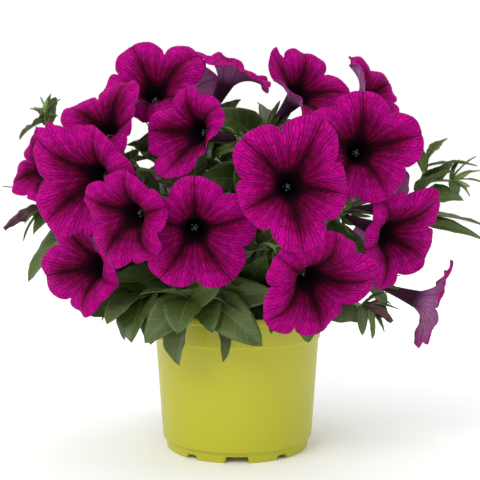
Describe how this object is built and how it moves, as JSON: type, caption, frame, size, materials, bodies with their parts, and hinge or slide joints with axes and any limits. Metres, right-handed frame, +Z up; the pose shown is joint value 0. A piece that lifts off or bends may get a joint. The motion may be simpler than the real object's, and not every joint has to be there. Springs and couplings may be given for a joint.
{
  "type": "potted petunia",
  "caption": "Bushy petunia with open magenta trumpet blooms, dark throats and soft green leaves, growing in a round lime-green plastic pot.",
  "frame": {"origin": "middle of the pot's base, on the surface that the pot stands on", "axes": "+Z up along the pot's axis, -Y towards the front that the picture shows, +X to the right of that view"},
  "size_m": [0.332, 0.2547, 0.2848],
  "materials": {
    "pot_plastic": "satin moulded lime-green plastic",
    "soil": "dark crumbly peat soil",
    "petal": "velvety magenta petals with darker veins and throat",
    "foliage": "soft hairy green leaves and stems"
  },
  "bodies": {
    "root": {"pot": "pot_plastic", "soil": "soil", "bloom_01": "petal", "bloom_02": "petal", "bloom_03": "petal", "bloom_04": "petal", "bloom_05": "petal", "bloom_06": "petal", "bloom_07": "petal", "bloom_08": "petal", "bloom_09": "petal", "bloom_10": "petal", "bloom_11": "petal", "bloom_12": "petal", "bloom_13": "petal", "bloom_14": "petal", "bloom_15": "petal", "bloom_16": "petal", "bloom_17": "petal", "bloom_18": "petal", "bloom_19": "petal", "bloom_20": "petal", "bloom_21": "petal", "bloom_22": "petal", "bloom_23": "petal", "bloom_24": "petal", "bloom_25": "petal", "bloom_26": "petal", "stem_front_high": "foliage", "stem_front_middle": "foliage", "stem_front_right": "foliage", "stem_front_low": "foliage", "stem_left_high": "foliage", "stem_left_middle": "foliage", "stem_left_low": "foliage", "stem_left_side": "foliage", "stem_right_high": "foliage", "stem_right_side": "foliage", "stem_right_back": "foliage", "stem_back_high": "foliage", "stem_back_left": "foliage", "stem_back_low": "foliage", "stem_back_right": "foliage", "shoot_rim_front": "foliage", "shoot_rim_left": "foliage", "shoot_rim_right": "foliage", "shoot_left_tip": "foliage", "shoot_right_tip": "foliage", "shoot_rim_back": "foliage"}
  },
  "joints": []
}
